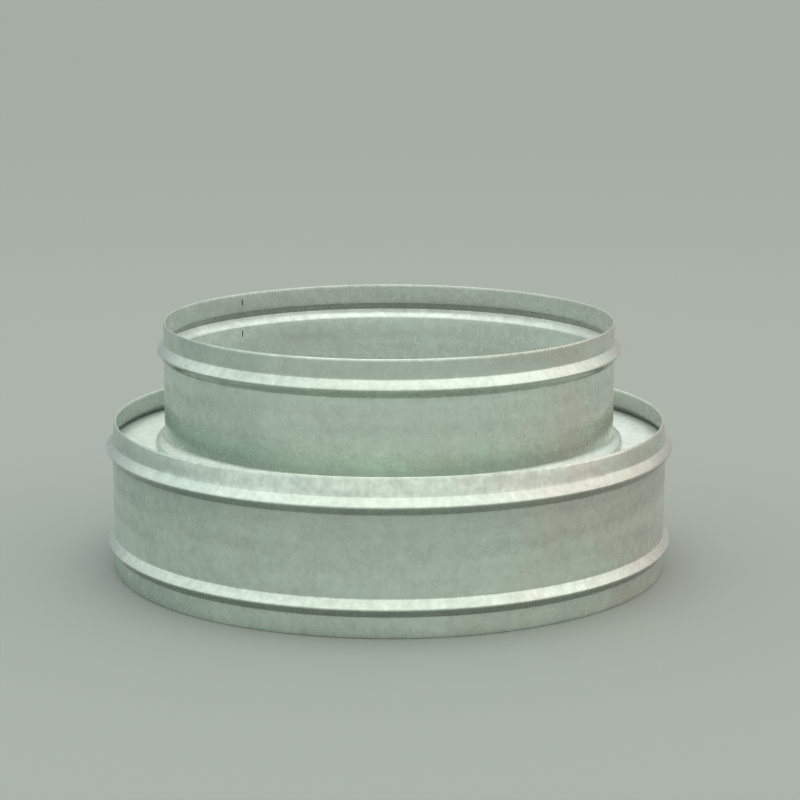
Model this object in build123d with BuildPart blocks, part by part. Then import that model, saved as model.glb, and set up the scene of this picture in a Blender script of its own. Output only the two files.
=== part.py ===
from build123d import *
from math import asin, atan2, cos, degrees, hypot, radians, sin, tan
import os

# Duct reducer in galvanised sheet: two rolled collars joined by a flat ring plate.
# The axis is Z and the large collar stands on its open end at z = 0. Millimetres and degrees.

# Sheet and main sizes; the small end's inside is narrower than the large end's outside by the reduction
sheet = 0.8
large_outside = 249.0
reduction = 48.6
large_height = 67.2
overall_height = 111.0

# Swaged beads, the same on both collars, with straight flanks and a tight bend inside the crest
bead_width = 7.4
bead_rise = 2.8
bead_bend = 0.3

# Plain ends beyond the beads, and how far the rim of the large one leans in
large_spigot = 9.1
large_lip = 8.1
small_lip = 8.7
lip_lean = 1.1

# Foot of the small collar, folded round the inner edge of the plate
foot_reach = 4.0
foot_slope = 32.0
flare_radius = 2.6
fold_gap = 0.5
flange_reach = 6.0

# Room left at the two edges of the plate
groove_clearance = 0.1
neck_clearance = 0.1

# Welded lap seams, where the ends of each rolled strip overlap
lap_width = 12.0
lap_rise = 0.25
lap_foot_gap = 1.0
large_seam_angle = 45.0
small_seam_angle = 134.6

# Flats that a round stretch is rolled in, seen in section
crest_flat_count = 2
fold_flat_count = 2

# Radii and heights that follow
large_radius = large_outside / 2
small_inside = large_outside - reduction
small_radius = small_inside / 2 + sheet
lower_bead_middle = large_spigot + bead_width / 2
plate_middle = large_height - large_lip - bead_width / 2
plate_top = plate_middle + sheet / 2
plate_bottom = plate_middle - sheet / 2
small_bead_middle = overall_height - small_lip - bead_width / 2

# Crest of a bead, rounded between the two flanks that touch it
crest_radius = bead_bend + sheet
crest_offset = bead_rise - crest_radius
crest_reach = hypot(crest_offset, bead_width / 2)
flank_slope = atan2(crest_offset, bead_width / 2) + asin(crest_radius / crest_reach)

# Seat of the plate's edge, between the flanks inside the upper bead
groove_radius = large_radius + bead_rise - sheet / cos(flank_slope / crest_flat_count)
plate_radius = groove_radius - sheet / 2 * tan(flank_slope) - groove_clearance

# Fold of the foot on the plate, and the flare that leads down to it from the wall
slope = radians(foot_slope)
fold_radius = sheet + fold_gap
fold_middle_r = small_radius + foot_reach - fold_radius
fold_middle_z = plate_top + fold_radius
flare_end_r = small_radius + flare_radius * (1 - sin(slope))
slope_run = fold_middle_r + fold_radius * sin(slope) - flare_end_r
flare_end_z = fold_middle_z + fold_radius * cos(slope) + slope_run * tan(slope)
flare_start_z = flare_end_z + flare_radius * cos(slope)


def flats(arc, count):
    return [arc @ (i / count) for i in range(count + 1)]


# Outer face of a bead, from its lower edge over the crest to its upper edge
def bead(radius, middle):
    low = (radius, middle - bead_width / 2)
    high = (radius, middle + bead_width / 2)
    turn = degrees(flank_slope)
    crest = CenterArc((radius + crest_offset, middle), crest_radius, -turn, 2 * turn)
    return [low, *flats(crest, crest_flat_count), high]


# Vertical plane through the axis, with its first direction at the given angle round it
def radial_plane(angle):
    outward = (cos(radians(angle)), sin(radians(angle)), 0)
    normal = (sin(radians(angle)), -cos(radians(angle)), 0)
    return Plane(origin=(0, 0, 0), x_dir=outward, z_dir=normal)


# Outer face of the large collar, from the bottom edge up to the rim
large_wall = [
    (large_radius, 0),
    *bead(large_radius, lower_bead_middle),
    *bead(large_radius, plate_middle),
    (large_radius - lip_lean, large_height),
]

# Outer face of the small collar, from the rim down to the foot
small_wall = [
    (small_radius, overall_height),
    *reversed(bead(small_radius, small_bead_middle)),
]

# Foot: flare, fold, leg on the plate, turn through the hole and flange beneath
fold_arc = CenterArc((fold_middle_r, fold_middle_z), fold_radius, 90 - foot_slope, foot_slope - 180)
small_foot = [
    (small_radius, flare_start_z),
    (flare_end_r, flare_end_z),
    *flats(fold_arc, fold_flat_count),
    (small_radius, plate_top),
    (small_radius, plate_bottom),
    (small_radius + flange_reach, plate_bottom),
]

# Large collar, with its lap proud outside
large_lap_turn = degrees(lap_width / large_radius)
with BuildPart() as large_collar:
    with BuildSketch(Plane.XZ):
        with BuildLine():
            Polyline(*large_wall)
            offset(amount=sheet, side=Side.LEFT, kind=Kind.INTERSECTION)
        make_face()
    revolve(axis=Axis.Z)
    with BuildSketch(radial_plane(large_seam_angle - large_lap_turn / 2)):
        with BuildLine():
            Polyline(*large_wall)
            offset(amount=lap_rise, side=Side.RIGHT, kind=Kind.INTERSECTION)
        make_face()
    revolve(axis=Axis.Z, revolution_arc=large_lap_turn)

# Reducing plate, a flat ring
with BuildPart() as reducing_plate:
    with BuildSketch(Plane.XY.offset(plate_bottom)):
        Circle(plate_radius)
        Circle(small_radius + neck_clearance, mode=Mode.SUBTRACT)
    extrude(amount=sheet)

# Small collar, with its lap proud outside and cut short above the foot
small_lap_turn = degrees(lap_width / small_radius)
with BuildPart() as small_collar:
    with BuildSketch(Plane.XZ):
        with BuildLine():
            Polyline(*small_wall, *small_foot)
            offset(amount=sheet, side=Side.RIGHT, kind=Kind.INTERSECTION)
        make_face()
    revolve(axis=Axis.Z)
    with BuildSketch(radial_plane(small_seam_angle - small_lap_turn / 2)):
        with BuildLine():
            Polyline(*small_wall, (small_radius, flare_start_z + lap_foot_gap))
            offset(amount=lap_rise, side=Side.LEFT, kind=Kind.INTERSECTION)
        make_face()
    revolve(axis=Axis.Z, revolution_arc=small_lap_turn)

large_collar.part.label = "large_collar"
reducing_plate.part.label = "reducing_plate"
small_collar.part.label = "small_collar"

os.makedirs("parts", exist_ok=True)
export_step(large_collar.part, "parts/large_collar.step")
export_step(reducing_plate.part, "parts/reducing_plate.step")
export_step(small_collar.part, "parts/small_collar.step")
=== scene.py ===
import math
import bmesh
import bpy
from mathutils import Matrix, Vector, noise


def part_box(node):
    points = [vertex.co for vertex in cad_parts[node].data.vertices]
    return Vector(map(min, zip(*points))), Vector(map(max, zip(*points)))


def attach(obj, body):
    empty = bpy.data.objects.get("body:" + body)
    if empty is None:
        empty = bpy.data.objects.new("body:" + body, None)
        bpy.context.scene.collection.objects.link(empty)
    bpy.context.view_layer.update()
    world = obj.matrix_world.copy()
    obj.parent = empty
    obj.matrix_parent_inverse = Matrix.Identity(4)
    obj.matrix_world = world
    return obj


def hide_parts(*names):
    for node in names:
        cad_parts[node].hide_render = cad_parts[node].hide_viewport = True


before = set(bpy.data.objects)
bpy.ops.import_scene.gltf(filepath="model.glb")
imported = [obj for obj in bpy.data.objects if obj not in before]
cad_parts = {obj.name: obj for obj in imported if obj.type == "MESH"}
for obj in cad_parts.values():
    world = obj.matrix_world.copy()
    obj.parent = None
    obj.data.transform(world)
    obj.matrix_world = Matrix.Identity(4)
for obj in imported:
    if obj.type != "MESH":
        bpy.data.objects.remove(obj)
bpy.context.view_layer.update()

mm = 0.001
sheet = 0.8 * mm  # thickness of the zinc coated steel, the same in all three pieces
spinSteps = 256  # round the whole circle
lapSteps = 19  # of those, across a lap seam, for its weld spots and the slit down its middle
runStep = 1.5 * mm  # longest step along a section
cornerSegments = 6  # in each rounded corner of a section
mergeGap = 0.01 * mm  # points closer than this become one
rimRadius = 0.36 * mm  # cut edges of the sheet, rolled over and burnished by handling
rimSegments = 3
rimAngle = math.radians(60)  # a cut edge turns by more than this
creaseAngle = math.radians(35)  # what turns by more than this, as a lap's side does, is shaded as an edge
upright = Vector((0, 0, 1))
onAxis = Vector((0, 0, 0))

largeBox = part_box("large_collar")
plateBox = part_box("reducing_plate")
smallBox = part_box("small_collar")
plateLow, plateTop = plateBox[0].z, plateBox[1].z
plateMiddle = (plateLow + plateTop) / 2

firstColour, secondColour, mixedColour = 6, 7, 2  # sockets of a Mix node that mixes colours


def linearColour(hexText):
    parts = [int(hexText[i:i + 2], 16) / 255 for i in (1, 3, 5)]
    return [c / 12.92 if c <= 0.04045 else ((c + 0.055) / 1.055) ** 2.4 for c in parts] + [1.0]


def addNode(tree, kind, inputs, **settings):
    node = tree.nodes.new(kind)
    for name, value in settings.items():
        setattr(node, name, value)
    for socket, value in inputs.items():
        if isinstance(value, bpy.types.NodeSocket):
            tree.links.new(value, node.inputs[socket])
        else:
            node.inputs[socket].default_value = value
    return node


# hot dipped zinc on rolled steel: a satin grey with a green cast and blurred reflections, in soft
# cool and warm patches, with faint drawing marks up and round the sheet and a frosty grain
# the patches drift cooler towards -X and warmer towards +X, a painted tint of cool light on the left and
# warm light on the right
zinc = {
    "marks": [  # width, height and strength of each kind of mark
        (16 * mm, 16 * mm, 0.16),  # cloudy mottling
        (2.2 * mm, 55 * mm, 0.07),  # drawing streaks
        (90 * mm, 6 * mm, 0.34),  # rolling bands
        (1.9 * mm, 1.9 * mm, 0.22),  # grain, finer on the real sheet, drawn this coarse so that it shows
        (4.5 * mm, 4.5 * mm, 0.22),  # frost, kept last because it also stands up from the sheet
    ],
    "frostDepth": 0.06 * mm,
    "dullTone": 0.9,  # marks this dark are the roughest
    "brightTone": 1.1,  # and marks this light the smoothest
    "roughnessSwing": 0.04,
    "cool": "#acc1be",
    "warm": "#d9c4bf",
    "patch": 45 * mm,
    "patchDetail": 2.0,
    "warmAway": 1.0,  # the warm patches come from this far off, so that they don't follow the cool ones
    "paintedLightDrift": 5.0,  # how much warmer the coat gets for each metre towards +X, and cooler towards -X: painted side light
    "tintFrom": 0.65,  # noise and drift together at which a tint begins, and at which it is full
    "tintFull": 1.1,
    "tarnishAndShade": "#73776f",  # painted shade in corners, beside beads and lips and on what looks down; real tarnish where a weld spot has cooked the coat
}

# the metallic share is bare zinc, and the rest is the chalky bloom that it weathers to.
# shift slides all the marks along, in widths of the mark
outsideZinc = {"colour": "#d6e2d7", "metallic": 0.85, "roughness": 0.26, "tinted": 0.52, "shift": 0.0}
# the inside finish is also lighter, painted light for the shaded inside and the small collar's foot
insideZinc = {"colour": "#e6f1e8", "metallic": 0.50, "roughness": 0.28, "tinted": 0.15, "shift": 0.0}
plateZinc = {"colour": "#ecf7f0", "metallic": 0.12, "roughness": 0.48, "tinted": 0.0, "shift": 3.3}


def galvanisedSteel(name, finish):
    made = bpy.data.materials.new(name)
    made.use_nodes = True
    tree = made.node_tree
    tree.nodes.clear()
    place = addNode(tree, "ShaderNodeTexCoord", {}).outputs["Object"]
    tone = 1 - sum(strength for width, height, strength in zinc["marks"]) / 2  # so that it averages 1
    for width, height, strength in zinc["marks"]:
        drawn = addNode(tree, "ShaderNodeMapping", {
            "Vector": place, "Scale": (1 / width, 1 / width, 1 / height),
            "Location": [finish["shift"]] * 3})
        mark = addNode(tree, "ShaderNodeTexNoise", {
            "Vector": drawn.outputs["Vector"], "Scale": 1.0, "Detail": 0.0})
        tone = addNode(tree, "ShaderNodeMath", {
            0: mark.outputs["Fac"], 1: strength, 2: tone}, operation="MULTIPLY_ADD").outputs["Value"]
    frost = mark
    colour = linearColour(finish["colour"])
    across = addNode(tree, "ShaderNodeSeparateXYZ", {"Vector": place}).outputs["X"]
    # painted side light: cool patches spread towards -X and warm ones towards +X
    for tint, away, paintedLightDrift in (("cool", 0.0, -zinc["paintedLightDrift"]), ("warm", zinc["warmAway"], zinc["paintedLightDrift"])):
        shifted = addNode(tree, "ShaderNodeMapping", {"Vector": place, "Location": (away, away, away)})
        cloud = addNode(tree, "ShaderNodeTexNoise", {
            "Vector": shifted.outputs["Vector"], "Scale": 1 / zinc["patch"], "Detail": zinc["patchDetail"]})
        drifted = addNode(tree, "ShaderNodeMath", {
            0: across, 1: paintedLightDrift, 2: cloud.outputs["Fac"]}, operation="MULTIPLY_ADD")
        share = addNode(tree, "ShaderNodeMapRange", {
            "Value": drifted.outputs["Value"], "From Min": zinc["tintFrom"], "From Max": zinc["tintFull"],
            "To Max": finish["tinted"]})
        colour = addNode(tree, "ShaderNodeMix", {
            "Factor": share.outputs["Result"],
            firstColour: colour, secondColour: linearColour(zinc[tint])},
            data_type="RGBA").outputs[mixedColour]
    toned = addNode(tree, "ShaderNodeHueSaturation", {"Value": tone, "Color": colour})
    # the tarnish attribute mixes in the dark colour: painted shade, and real tarnish round the weld spots
    tarnishAndShade = addNode(tree, "ShaderNodeAttribute", {}, attribute_name="tarnishAndShade")
    aged = addNode(tree, "ShaderNodeMix", {
        "Factor": tarnishAndShade.outputs["Fac"],
        firstColour: toned.outputs["Color"], secondColour: linearColour(zinc["tarnishAndShade"])}, data_type="RGBA")
    roughness = addNode(tree, "ShaderNodeMapRange", {
        "Value": tone, "From Min": zinc["dullTone"], "From Max": zinc["brightTone"],
        "To Min": finish["roughness"] + zinc["roughnessSwing"],
        "To Max": finish["roughness"] - zinc["roughnessSwing"]})
    bump = addNode(tree, "ShaderNodeBump", {
        "Height": frost.outputs["Fac"], "Distance": zinc["frostDepth"], "Strength": 1.0})
    shader = addNode(tree, "ShaderNodeBsdfPrincipled", {
        "Base Color": aged.outputs[mixedColour], "Metallic": finish["metallic"],
        "Roughness": roughness.outputs["Result"], "Normal": bump.outputs["Normal"]})
    addNode(tree, "ShaderNodeOutputMaterial", {"Surface": shader.outputs["BSDF"]})
    return made


# painted shade at the bottom of an open seam: near black in clumps, with no shine
slitShadeLook = {"colour": "#1d1f1c", "paler": "#34362f", "clump": 0.6 * mm, "roughness": 0.9}


def paintedSeamShade():
    made = bpy.data.materials.new("paintedSeamShade")
    made.use_nodes = True
    tree = made.node_tree
    shader = tree.nodes["Principled BSDF"]
    place = addNode(tree, "ShaderNodeTexCoord", {}).outputs["Object"]
    clump = addNode(tree, "ShaderNodeTexNoise", {"Vector": place, "Scale": 1 / slitShadeLook["clump"]})
    colour = addNode(tree, "ShaderNodeMix", {
        "Factor": clump.outputs["Fac"],
        firstColour: linearColour(slitShadeLook["colour"]),
        secondColour: linearColour(slitShadeLook["paler"])}, data_type="RGBA")
    tree.links.new(colour.outputs[mixedColour], shader.inputs["Base Color"])
    shader.inputs["Roughness"].default_value = slitShadeLook["roughness"]
    return made


steel = galvanisedSteel("galvanisedSteel", outsideZinc)
chalkyLightenedSteel = galvanisedSteel("chalkyLightenedGalvanisedSteel", insideZinc)
paleSteel = galvanisedSteel("paleGalvanisedSteel", plateZinc)
slitShade = paintedSeamShade()
chalkyLightenedPlace, slitShadePlace = 1, 2  # among a collar's materials
print("materials made")


def drawSection(bm, corners, closed=False):
    # a corner is its radius, its height and the length that rounding cuts off both its edges
    points = [bm.verts.new((r, 0, z)) for r, z, cut in corners]
    ends = points[1:] + points[:1] if closed else points[1:]
    for low, high in zip(points, ends):
        bm.edges.new((low, high))
    for cut in sorted({c[2] for c in corners if c[2]}):
        rounded = [v for v, c in zip(points, corners) if c[2] == cut]
        bmesh.ops.bevel(bm, geom=rounded, offset=cut, offset_type="OFFSET", segments=cornerSegments,
                        profile=0.5, affect="VERTICES", material=-1)
    bmesh.ops.remove_doubles(bm, verts=bm.verts[:], dist=mergeGap)
    # plain runs get even steps, so that the sheet can lie uneven
    for edge in [e for e in bm.edges if e.calc_length() > runStep]:
        bmesh.ops.subdivide_edges(bm, edges=[edge], cuts=math.ceil(edge.calc_length() / runStep) - 1)


bead = {"width": 7.4 * mm, "rise": 2.8 * mm, "crestRadius": 1.1 * mm, "rootRadius": 0.8 * mm}


def beadCorners(radius, middle):
    # two straight flanks from the wall to a crest that a small circle rounds off
    half = bead["width"] / 2
    centre = bead["rise"] - bead["crestRadius"]
    slope = math.atan2(centre, half) + math.asin(bead["crestRadius"] / math.hypot(centre, half))
    rootCut = bead["rootRadius"] * math.tan(slope / 2)
    crestCut = bead["crestRadius"] * math.tan(slope)
    return [
        (radius, middle - half, rootCut),
        (radius + half * math.tan(slope), middle, crestCut),
        (radius, middle + half, rootCut),
    ]


def rollStrip(bm, seamAngle, lapTurn):
    # the lap is spun first, then the rest of the circle, back to where the lap began
    toStart = Matrix.Rotation(seamAngle - lapTurn / 2, 3, "Z")
    bmesh.ops.rotate(bm, verts=bm.verts[:], cent=onAxis, matrix=toStart)
    overlap = bmesh.ops.spin(bm, geom=bm.verts[:] + bm.edges[:], cent=onAxis, axis=upright,
                             angle=lapTurn, steps=lapSteps)
    bmesh.ops.spin(bm, geom=overlap["geom_last"], cent=onAxis, axis=upright,
                   angle=2 * math.pi - lapTurn, steps=spinSteps - lapSteps)
    bmesh.ops.remove_doubles(bm, verts=bm.verts[:], dist=mergeGap)
    bmesh.ops.recalc_face_normals(bm, faces=bm.faces[:])


rolledSheet = {
    "middle": 0.5,  # share of the depth by which it lies in on average
    "swing": 0.45,  # and how far its waves take it from there
    "rippled": 0.25,  # height of the ripples against the waves
}


def easeSheet(bm, reach, uneven):
    # true where the plate holds it, and up to about the depth further in at its free ends
    for v in bm.verts:
        share = min(1.0, abs(v.co.z - plateMiddle) / reach)
        ripples = rolledSheet["rippled"] * noise.noise(v.co / uneven["ripple"])
        lie = noise.noise(v.co / uneven["wave"]) + ripples
        pull = uneven["depth"] * share * max(0.0, rolledSheet["middle"] + rolledSheet["swing"] * lie)
        radius = math.hypot(v.co.x, v.co.y)
        v.co.x *= 1 - pull / radius
        v.co.y *= 1 - pull / radius


def roundRims(bm):
    cut = [e for e in bm.edges if len(e.link_faces) == 2 and e.calc_face_angle() > rimAngle]
    bmesh.ops.bevel(bm, geom=cut, offset=rimRadius, offset_type="OFFSET", segments=rimSegments,
                    profile=0.5, affect="EDGES", material=-1, clamp_overlap=True)


sideways = 0.2  # facing past which a face counts as the outer or the inner side of the sheet
squarely = 0.9  # and as one that looks straight in


def facing(face):
    # 1 looks straight out from the axis, -1 straight in
    middle = face.calc_center_median()
    return face.normal.dot(Vector((middle.x, middle.y, 0)).normalized())


def offSeam(point, seamAngle):
    return math.remainder(math.atan2(point.y, point.x) - seamAngle, 2 * math.pi)


paintedShade = {
    "lean": 0.2,  # what looks down by more than this is painted darker, as shade
    "grows": 0.3,  # and fully so when it looks down by this much more
    "frontFade": 2.0,  # how fast a band weakens from the middle of the piece to its front
}


def shadeUndersides(bm, strength):
    # paints shade on what looks down, darker the more squarely it looks down
    tarnishAndShade = bm.verts.layers.float.new("tarnishAndShade")
    bm.normal_update()
    for v in bm.verts:
        v[tarnishAndShade] = strength * min(1.0, max(0.0, -paintedShade["lean"] - v.normal.z) / paintedShade["grows"])


def darkenBand(bm, side, low, high, lowStrength, highStrength, front=1.0):
    # darkens the inner face of the sheet, side -1, or the outer one, side 1, between two heights,
    # with only a share of the strength on its front
    tarnishAndShade = bm.verts.layers.float["tarnishAndShade"]
    for v in bm.verts:
        up = (v.co.z - low) / (high - low)
        out = Vector((v.co.x, v.co.y, 0)).normalized()
        if 0 <= up <= 1 and side * v.normal.dot(out) > 0:
            share = min(1.0, max(front, 1 + paintedShade["frontFade"] * out.y))
            v[tarnishAndShade] = max(v[tarnishAndShade], share * (lowStrength + up * (highStrength - lowStrength)))


def chalkAndLightenInside(bm, foot):
    # no hand or rain reaches the inside, nor what lies below the top of a foot, so the bloom stays there;
    # the lighter colour of that finish is painted light for these shaded places
    for f in bm.faces:
        sheltered = facing(f) < -sideways or f.calc_center_median().z < foot
        f.material_index = chalkyLightenedPlace if sheltered else 0


# the strip's two ends lie over each other, held by a row of spot welds
lap = {
    "width": 12.0 * mm,
    "rise": 0.25 * mm,
    "edge": 0.3 * mm,  # width of its sloping sides
    "spot": 1.6 * mm,  # radius of a weld
    "dish": 0.15 * mm,  # and its depth
    "cooked": 0.6,  # tarnish at a weld's middle
    "cookedReach": 1.5,  # how far that spreads, in radii of the weld
}


def raiseLap(bm, seamAngle, lapTurn, lowest, highest):
    outside = []
    for f in bm.faces:
        middle = f.calc_center_median()
        onLap = lowest < middle.z < highest and abs(offSeam(middle, seamAngle)) < lapTurn / 2
        if onLap and facing(f) > sideways:
            outside.append(f)
    bmesh.ops.inset_region(bm, faces=outside, thickness=lap["edge"], depth=lap["rise"],
                           use_even_offset=True, use_boundary=True)
    return outside


def weldSpots(bm, faces, seamAngle, heights):
    # electrode marks: shallow dishes down the middle of the lap, with the coat cooked round them
    tarnishAndShade = bm.verts.layers.float["tarnishAndShade"]
    points = {v for f in faces for v in f.verts}
    for v in points:
        across = offSeam(v.co, seamAngle) * math.hypot(v.co.x, v.co.y)
        near = min(math.hypot(across, v.co.z - h) for h in heights) / lap["spot"]
        depth = math.exp(-near ** 4)  # a flat bottom and a steep side
        v[tarnishAndShade] = max(v[tarnishAndShade], lap["cooked"] * math.exp(-(near / lap["cookedReach"]) ** 2))
        outward = Vector((v.co.x, v.co.y, 0)).normalized()
        v.co -= outward * lap["dish"] * depth


def finishPiece(bm, name, node, materials):
    for f in bm.faces:
        f.smooth = True
    for e in bm.edges:
        e.smooth = len(e.link_faces) != 2 or e.calc_face_angle() < creaseAngle
    mesh = bpy.data.meshes.new(name)
    bm.to_mesh(mesh)
    bm.free()
    for material in materials:
        mesh.materials.append(material)
    piece = bpy.data.objects.new(name, mesh)
    bpy.context.scene.collection.objects.link(piece)
    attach(piece, "root")
    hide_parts(node)
    print(name, "has", len(mesh.polygons), "faces")


largeCollar = {
    "radius": largeBox[1].x - bead["rise"],
    "height": 67.2 * mm,
    "spigot": 9.1 * mm,  # plain end below the lower bead
    "lipLean": 1.1 * mm,  # how far the lip draws in by its top
    "seam": math.radians(45.0),
    "uneven": {"depth": 0.35 * mm, "wave": 75 * mm, "ripple": 15 * mm},
    "underside": 0.52,  # painted shade on what looks down
    "corner": 0.72,  # painted shade inside the lip, where it stands on the plate
    "rim": 0.55,  # and at its free edge
    "cornerFront": 0.55,  # share of both that the front has
    "lipFoot": 0.18,  # painted shade outside, where the lip leaves the bead
    "eaves": 0.22,  # and painted shade under the bead
    "sheltered": 26 * mm,  # how far down from the bead that goes
    "weldHeights": [4.2 * mm, 22 * mm, 30 * mm, 38 * mm, 46 * mm, 63.2 * mm],
}


def makeLargeCollar():
    part = largeCollar
    lapTurn = lap["width"] / part["radius"]
    bm = bmesh.new()
    drawSection(bm, [
        (part["radius"], 0, 0),
        *beadCorners(part["radius"], part["spigot"] + bead["width"] / 2),
        *beadCorners(part["radius"], plateMiddle),
        (part["radius"] - part["lipLean"], part["height"], 0),
    ])
    rollStrip(bm, part["seam"], lapTurn)
    easeSheet(bm, plateMiddle, part["uneven"])
    bmesh.ops.solidify(bm, geom=bm.faces[:], thickness=sheet)
    roundRims(bm)
    shadeUndersides(bm, part["underside"])
    # painted shade inside the lip, weaker at the front
    darkenBand(bm, -1, plateTop, part["height"] - sheet, part["corner"], part["rim"], part["cornerFront"])
    # painted shade above the upper bead and down the wall below it
    lipFoot = plateMiddle + bead["width"] / 2
    darkenBand(bm, 1, lipFoot, part["height"], part["lipFoot"], 0.0)
    eaves = plateMiddle - bead["width"] / 2
    darkenBand(bm, 1, eaves - part["sheltered"], eaves, 0.0, part["eaves"])
    strip = raiseLap(bm, part["seam"], lapTurn, rimRadius, part["height"] - rimRadius)
    weldSpots(bm, strip, part["seam"], part["weldHeights"])
    chalkAndLightenInside(bm, 0)
    finishPiece(bm, "largeCollar", "large_collar", [steel, chalkyLightenedSteel])


plate = {
    "radius": plateBox[1].x,
    "neck": 101.1 * mm,  # radius of the hole that the small collar goes through
    "edge": 0.15 * mm,  # rounding of the cut edges
    "lipShade": 0.30,  # painted shade beside the lip
    "lipShadeFrom": 119 * mm,
    "lipShadeTo": 123 * mm,
}


def makePlate():
    bm = bmesh.new()
    drawSection(bm, [
        (plate["neck"], plateLow, plate["edge"]),
        (plate["radius"], plateLow, plate["edge"]),
        (plate["radius"], plateTop, plate["edge"]),
        (plate["neck"], plateTop, plate["edge"]),
    ], closed=True)
    bmesh.ops.spin(bm, geom=bm.verts[:] + bm.edges[:], cent=onAxis, axis=upright, angle=2 * math.pi,
                   steps=spinSteps, use_merge=True)
    bmesh.ops.recalc_face_normals(bm, faces=bm.faces[:])
    # painted shade: the plate darkens towards the lip
    tarnishAndShade = bm.verts.layers.float.new("tarnishAndShade")
    for v in bm.verts:
        out = (math.hypot(v.co.x, v.co.y) - plate["lipShadeFrom"]) / (plate["lipShadeTo"] - plate["lipShadeFrom"])
        v[tarnishAndShade] = plate["lipShade"] * min(1.0, max(0.0, out))
    finishPiece(bm, "reducingPlate", "reducing_plate", [paleSteel])


smallCollar = {
    "flange": 6.0 * mm,  # turned out beneath the plate
    "lip": 8.7 * mm,  # plain end above the bead
    "footReach": 4.0 * mm,  # the fold that lies on the plate
    "footSlope": math.radians(32),
    "flareRadius": 2.6 * mm,
    "foldRadius": 1.3 * mm,
    "bendRadius": 0.3 * mm,  # at the neck, above and below the plate
    "lapFootGap": 1.0 * mm,  # the lap ends this far above the flare
    "seam": math.radians(134.6),
    "uneven": {"depth": 0.45 * mm, "wave": 60 * mm, "ripple": 12 * mm},
    "underside": 0.72,  # painted shade on what looks down
    "lipInsideShade": 0.36,  # painted shade inside, above the bead
    "lipOutsideDarker": 0.14,  # and a plain darker band outside
    "weldHeights": [67 * mm, 74 * mm, 81 * mm, 88 * mm, 107.2 * mm],
    "slits": [(89.6 * mm, 93.2 * mm), (105.6 * mm, 108.4 * mm)],  # inside, where the seam stays open
    "slitWidth": 0.6 * mm,
    "slitDepth": 0.7 * mm,
}


def footCorners(part, radius):
    # flare, the fold's two corners, the leg on the plate, the neck through it and the flange beneath
    turn = (math.pi - part["footSlope"]) / 2
    foldCut = part["foldRadius"] * math.tan(turn / 2)
    lowFold = Vector((radius + part["footReach"] - part["foldRadius"] + foldCut, plateTop))
    down = part["footSlope"] + turn
    highFold = lowFold + 2 * foldCut * Vector((-math.cos(down), math.sin(down)))
    flareZ = highFold.y + (highFold.x - radius) * math.tan(part["footSlope"])
    flareCut = part["flareRadius"] * math.tan((math.pi / 2 - part["footSlope"]) / 2)
    bend = part["bendRadius"]
    return [
        (radius, flareZ, flareCut),
        (highFold.x, highFold.y, foldCut),
        (lowFold.x, lowFold.y, foldCut),
        (radius, plateTop, bend),
        (radius, plateLow, bend),
        (radius + part["flange"], plateLow, 0),
    ]


def openSlits(bm, part):
    outward = Vector((math.cos(part["seam"]), math.sin(part["seam"]), 0))
    for low, high in part["slits"]:
        window = []
        for f in bm.faces:
            middle = f.calc_center_median()
            across = offSeam(middle, part["seam"]) * math.hypot(middle.x, middle.y)
            inSlit = abs(across) < part["slitWidth"] / 2 and low < middle.z < high
            if inSlit and facing(f) < -squarely:
                window.append(f)
        pushed = bmesh.ops.extrude_face_region(bm, geom=window)
        bottom = [v for v in pushed["geom"] if isinstance(v, bmesh.types.BMVert)]
        bmesh.ops.translate(bm, verts=bottom, vec=outward * part["slitDepth"])
        # the slit's bottom gets the near black material, painted shade
        for f in {f for v in bottom for f in v.link_faces}:
            f.material_index = slitShadePlace
        bmesh.ops.delete(bm, geom=[f for f in window if f.is_valid], context="FACES")


def makeSmallCollar():
    part = smallCollar
    radius = smallBox[1].x - part["flange"]
    height = smallBox[1].z
    lapTurn = lap["width"] / radius
    foot = footCorners(part, radius)
    bm = bmesh.new()
    drawSection(bm, [
        (radius, height, 0),
        *reversed(beadCorners(radius, height - part["lip"] - bead["width"] / 2)),
        *foot,
    ])
    rollStrip(bm, part["seam"], lapTurn)
    easeSheet(bm, height - plateMiddle, part["uneven"])
    bmesh.ops.solidify(bm, geom=bm.faces[:], thickness=sheet)
    roundRims(bm)
    flareHeight, flareCut = foot[0][1:]
    footTop = flareHeight + flareCut
    shadeUndersides(bm, part["underside"])
    # painted shade inside the lip, and a plain darker band outside it
    darkenBand(bm, -1, height - part["lip"], height, part["lipInsideShade"], part["lipInsideShade"])
    darkenBand(bm, 1, height - part["lip"], height, part["lipOutsideDarker"], part["lipOutsideDarker"])
    strip = raiseLap(bm, part["seam"], lapTurn, footTop + part["lapFootGap"], height - rimRadius)
    weldSpots(bm, strip, part["seam"], part["weldHeights"])
    chalkAndLightenInside(bm, footTop)
    openSlits(bm, part)
    finishPiece(bm, "smallCollar", "small_collar", [steel, chalkyLightenedSteel, slitShade])


makeLargeCollar()
makePlate()
makeSmallCollar()

# a disc of matt paint in metres, wide enough to pass for an endless pale ground
floor = {"radius": 12.0, "segments": 96, "colour": "#9da39e", "roughness": 0.9, "specular": 0.1}


def makeFloor():
    bm = bmesh.new()
    bmesh.ops.create_circle(bm, cap_ends=True, radius=floor["radius"], segments=floor["segments"])
    mesh = bpy.data.meshes.new("floor")
    bm.to_mesh(mesh)
    bm.free()
    paint = bpy.data.materials.new("mattPaint")
    paint.use_nodes = True
    shader = paint.node_tree.nodes["Principled BSDF"]
    shader.inputs["Base Color"].default_value = linearColour(floor["colour"])
    shader.inputs["Roughness"].default_value = floor["roughness"]
    shader.inputs["Specular IOR Level"].default_value = floor["specular"]
    mesh.materials.append(paint)
    ground = bpy.data.objects.new("floor", mesh)
    bpy.context.scene.collection.objects.link(ground)


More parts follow.
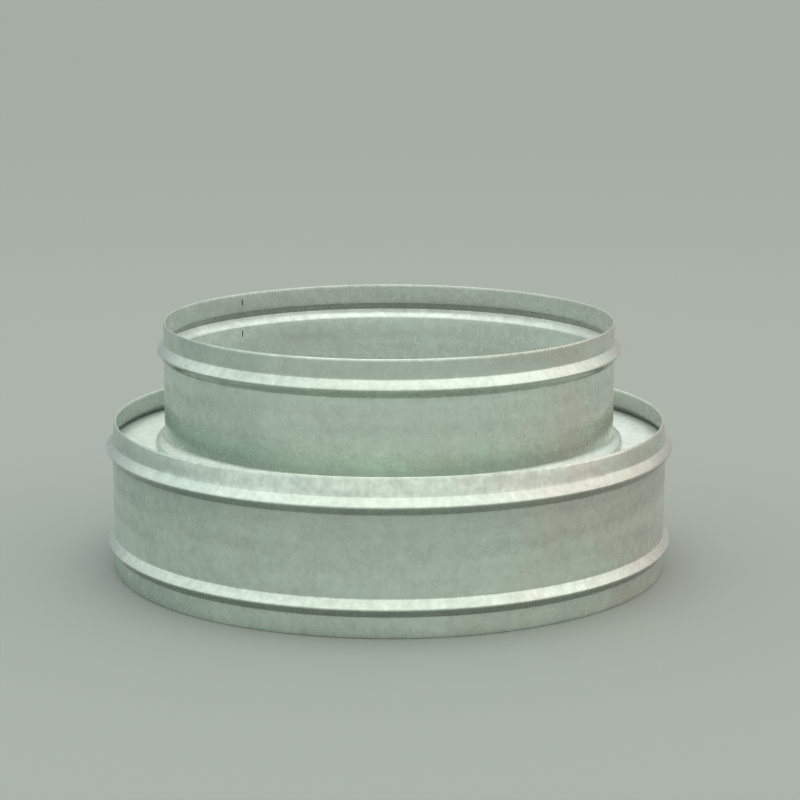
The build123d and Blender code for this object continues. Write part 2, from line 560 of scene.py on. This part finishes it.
# a light tent: a skirt that is bright in front and beside, plain behind, and a bright top,
# a little cool on the left and warm on the right
tent = {
    "skirtFront": 0.86,  # added at the horizon, gone at the skirt's edge
    "skirtSides": 0.36,  # what the two sides have on top of that
    "beside": 0.15,  # how far towards +Y the skirt keeps its full light, and where it has lost it
    "behind": 0.85,
    "skirtEdge": 0.50,  # this and the next two are sines of the angle above the horizon
    "topEdge": 0.22,
    "topFull": 0.60,
    "sides": 0.53,  # light below the top's edge, and where the top is full
    "top": 1.26,
    "left": "#eaefea",
    "right": "#fdfdf7",
}


def makeTent():
    world = bpy.data.worlds.new("lightTent")
    world.use_nodes = True
    tree = world.node_tree
    tree.nodes.clear()
    place = addNode(tree, "ShaderNodeTexCoord", {}).outputs["Generated"]
    towards = addNode(tree, "ShaderNodeSeparateXYZ", {"Vector": place})
    skirt = addNode(tree, "ShaderNodeMapRange", {
        "Value": towards.outputs["Z"], "From Min": 0.0, "From Max": tent["skirtEdge"],
        "To Min": 1.0, "To Max": 0.0})
    roof = addNode(tree, "ShaderNodeMapRange", {
        "Value": towards.outputs["Z"], "From Min": tent["topEdge"], "From Max": tent["topFull"],
        "To Min": tent["sides"], "To Max": tent["top"]})
    square = addNode(tree, "ShaderNodeMath", {
        0: towards.outputs["X"], 1: towards.outputs["X"]}, operation="MULTIPLY")
    wings = addNode(tree, "ShaderNodeMath", {
        0: square.outputs["Value"], 1: tent["skirtSides"], 2: tent["skirtFront"]}, operation="MULTIPLY_ADD")
    ahead = addNode(tree, "ShaderNodeMapRange", {
        "Value": towards.outputs["Y"], "From Min": tent["beside"], "From Max": tent["behind"],
        "To Min": wings.outputs["Value"], "To Max": 0.0})
    level = addNode(tree, "ShaderNodeMath", {
        0: skirt.outputs["Result"], 1: ahead.outputs["Result"], 2: roof.outputs["Result"]},
        operation="MULTIPLY_ADD")
    across = addNode(tree, "ShaderNodeMapRange", {
        "Value": towards.outputs["X"], "From Min": -1.0, "From Max": 1.0})
    tint = addNode(tree, "ShaderNodeMix", {
        "Factor": across.outputs["Result"],
        firstColour: linearColour(tent["left"]), secondColour: linearColour(tent["right"])},
        data_type="RGBA")
    glow = addNode(tree, "ShaderNodeBackground", {
        "Color": tint.outputs[mixedColour], "Strength": level.outputs["Value"]})
    addNode(tree, "ShaderNodeOutputWorld", {"Surface": glow.outputs["Background"]})
    bpy.context.scene.world = world


# in metres and watts, overhead
softbox = {"size": (1.2, 0.9), "place": Vector((0, 0.1, 1.6)), "aim": Vector((0, 0, 0.06)), "power": 4.3}


def makeSoftbox():
    data = bpy.data.lights.new("softbox", "AREA")
    data.shape = "RECTANGLE"
    data.size, data.size_y = softbox["size"]
    data.energy = softbox["power"]
    lamp = bpy.data.objects.new("softbox", data)
    lamp.location = softbox["place"]
    lamp.rotation_euler = (softbox["aim"] - softbox["place"]).to_track_quat("-Z", "Y").to_euler()
    bpy.context.scene.collection.objects.link(lamp)


# the photograph's view, worked out from the ellipses of the four rims and beads
view = {
    "place": Vector((0, -1.0294, 0.2836)),
    "aim": Vector((0, 0, 0.0717)),
    "lens": 104.7,
    "sensor": 36.0,
    "shift": (0.0138, 0.0053),
}


def makeCamera():
    data = bpy.data.cameras.new("camera")
    data.lens = view["lens"]
    data.sensor_width = view["sensor"]
    data.shift_x, data.shift_y = view["shift"]
    camera = bpy.data.objects.new("camera", data)
    camera.location = view["place"]
    camera.rotation_euler = (view["aim"] - view["place"]).to_track_quat("-Z", "Y").to_euler()
    bpy.context.scene.collection.objects.link(camera)
    bpy.context.scene.camera = camera


makeFloor()
makeTent()
makeSoftbox()
makeCamera()
bpy.context.scene.view_settings.view_transform = "Standard"
print("stage, lights and camera made")
